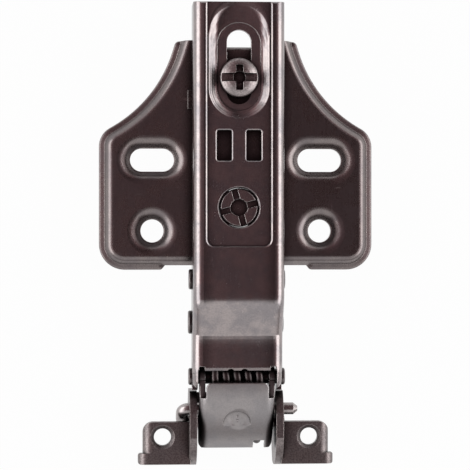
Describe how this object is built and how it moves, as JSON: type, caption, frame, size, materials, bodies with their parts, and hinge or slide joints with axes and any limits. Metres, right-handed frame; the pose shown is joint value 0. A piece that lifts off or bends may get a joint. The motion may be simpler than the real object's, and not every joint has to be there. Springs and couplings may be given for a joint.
{
  "type": "concealed cabinet hinge",
  "caption": "Slide-on cabinet hinge for a framed door: winged pressed mounting plate, channel arm with screws, sprung four-bar links and a two-ear door bracket.",
  "frame": {"origin": "midpoint of the line through the two front round screw holes, on the plate's underside", "axes": "+X across the hinge, +Y from the door towards the cabinet's back, +Z away from the side panel that the plate is screwed to"},
  "size_m": [0.0522, 0.0875, 0.0206],
  "materials": {
    "plated_sheet": "black nickel plated pressed sheet, satin",
    "link_nickel": "grey nickel plated pressed sheet, satin",
    "cast_nickel": "black nickel plated casting, satin",
    "screw_nickel": "black nickel plated, semi-bright",
    "pin_steel": "black nickel plated wire and rivets",
    "spring_steel": "plated spring wire, semi-bright"
  },
  "bodies": {
    "plate": {"mounting_plate": "plated_sheet"},
    "arm": {"hinge_arm": "plated_sheet", "front_axis_pin": "pin_steel", "link_axis_pin": "pin_steel", "rear_cross_pin": "pin_steel", "torsion_spring": "spring_steel"},
    "fixing": {"fixing_screw": "screw_nickel"},
    "adjusting": {"adjusting_screw": "screw_nickel"},
    "outer": {"outer_link": "link_nickel"},
    "bracket": {"door_bracket": "cast_nickel", "u_pin": "pin_steel"},
    "inner": {"inner_link": "link_nickel"}
  },
  "joints": [
    {"name": "arm_depth", "type": "slide", "parent": "plate", "child": "arm", "axis": [0, 1, 0], "range_m": [-0.0025, 0.002]},
    {"name": "fixing_turn", "type": "hinge", "parent": "plate", "child": "fixing", "pos_m": [0, 0.0284, 0.008], "axis": [0, 0, 1], "continuous": true},
    {"name": "adjusting_turn", "type": "hinge", "parent": "arm", "child": "adjusting", "pos_m": [0, 0.00432, 0.01], "axis": [0, 0, 1], "continuous": true},
    {"name": "link_swing", "type": "hinge", "parent": "arm", "child": "outer", "pos_m": [0, -0.0276, 0.003], "axis": [1, 0, 0], "range_deg": [0, 34.1], "deforming": ["torsion_spring"]},
    {"name": "door_swing", "type": "hinge", "parent": "outer", "child": "bracket", "pos_m": [0, -0.0368, -0.0032], "axis": [1, 0, 0], "range_deg": [-124.07, 0]},
    {"name": "inner_swing", "type": "hinge", "parent": "bracket", "child": "inner", "pos_m": [0, -0.034, 0.00035], "axis": [1, 0, 0], "range_deg": [0, 131.5]}
  ],
  "couplings": [
    {"joint": "link_swing", "follows": "door_swing", "ratio": -0.27463},
    {"joint": "inner_swing", "follows": "door_swing", "ratio": -1.0594}
  ]
}
